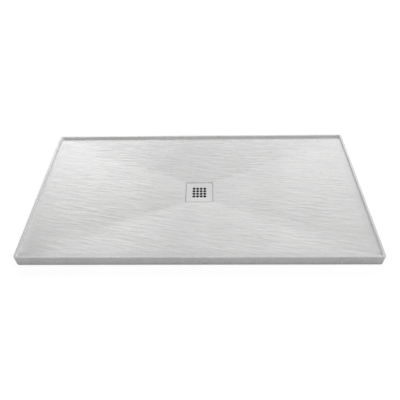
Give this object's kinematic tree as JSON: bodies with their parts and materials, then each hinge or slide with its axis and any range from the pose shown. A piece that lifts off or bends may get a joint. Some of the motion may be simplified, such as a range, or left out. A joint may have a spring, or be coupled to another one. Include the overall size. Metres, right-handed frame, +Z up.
{
  "type": "shower tray",
  "caption": "Low rectangular shower tray with a slim raised rim, a slate-effect floor falling to a square perforated drain cover, a cast core and a clamped waste.",
  "frame": {"origin": "centre of the tray's base, on the surface that it rests on, under the centre of the drain", "axes": "+X along the long side, +Y towards the back, +Z up through the rim; the front fascia faces -Y"},
  "size_m": [1.5, 0.8, 0.05],
  "materials": {
    "cap": "satin white moulding with a slate relief on the floor",
    "core": "cast resin stone, rough",
    "cover": "smooth satin white",
    "pads": "moulded black rubber",
    "flange": "black moulded plastic, fine grain",
    "screws": "plain stainless steel",
    "inserts": "turned brass",
    "gaskets": "flat black rubber sheet",
    "collar": "dark grey moulded plastic",
    "strainer": "black moulded plastic"
  },
  "bodies": {
    "tray": {"tray_cap": "cap", "tray_core": "core", "waste_flange": "flange", "flange_screws": "screws", "screw_inserts": "inserts", "top_gasket": "gaskets", "lower_gasket": "gaskets", "waste_collar": "collar"},
    "cover": {"drain_cover": "cover", "cover_pads": "pads"},
    "strainer": {"hair_strainer": "strainer"}
  },
  "joints": [
    {"name": "cover_lift", "type": "slide", "parent": "tray", "child": "cover", "axis": [0, 0, 1], "range_m": [0, 0.06]},
    {"name": "strainer_lift", "type": "slide", "parent": "tray", "child": "strainer", "axis": [0, 0, 1], "range_m": [0, 0.03]}
  ],
  "couplings": [
    {"joint": "strainer_lift", "follows": "cover_lift", "ratio": 0.5}
  ]
}
